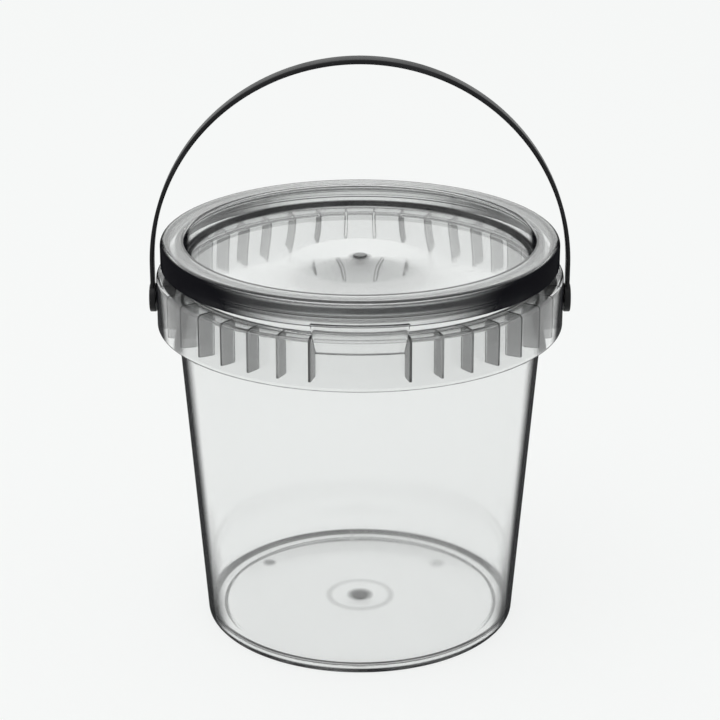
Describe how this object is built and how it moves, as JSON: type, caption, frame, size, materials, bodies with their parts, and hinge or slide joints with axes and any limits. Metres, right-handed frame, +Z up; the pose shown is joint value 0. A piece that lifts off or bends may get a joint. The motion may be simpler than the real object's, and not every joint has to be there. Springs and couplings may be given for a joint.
{
  "type": "plastic pail",
  "caption": "Clear tapered pail with a ribbed collar, a snap lid with a stacking recess, a tear-off tamper tab and an arched bail that swings down to either side.",
  "frame": {"origin": "centre of the tub's footprint, on the surface that it stands on", "axes": "+Z up along the tub's axis; -Y towards the front, where the tamper tab is; the bail's studs lie along X"},
  "size_m": [0.14, 0.135, 0.1945],
  "materials": {
    "clear_plastic": "clear glossy polypropylene with a faint haze",
    "black_plastic": "black moulded polypropylene, semi-gloss"
  },
  "bodies": {
    "tub": {"tub": "clear_plastic"},
    "lid": {"lid": "clear_plastic"},
    "bail": {"bail_handle": "black_plastic"},
    "tamper_tab": {"tamper_tab": "clear_plastic"}
  },
  "joints": [
    {"name": "bail_swing", "type": "hinge", "parent": "tub", "child": "bail", "pos_m": [0, 0, 0.113], "axis": [1, 0, 0], "range_deg": [-132, 132]},
    {"name": "lid_lift", "type": "slide", "parent": "tub", "child": "lid", "axis": [0, 0, 1], "range_m": [0, 0.007]},
    {"name": "tab_pull", "type": "slide", "parent": "tub", "child": "tamper_tab", "axis": [0, -1, 0], "range_m": [0, 0.012]}
  ]
}
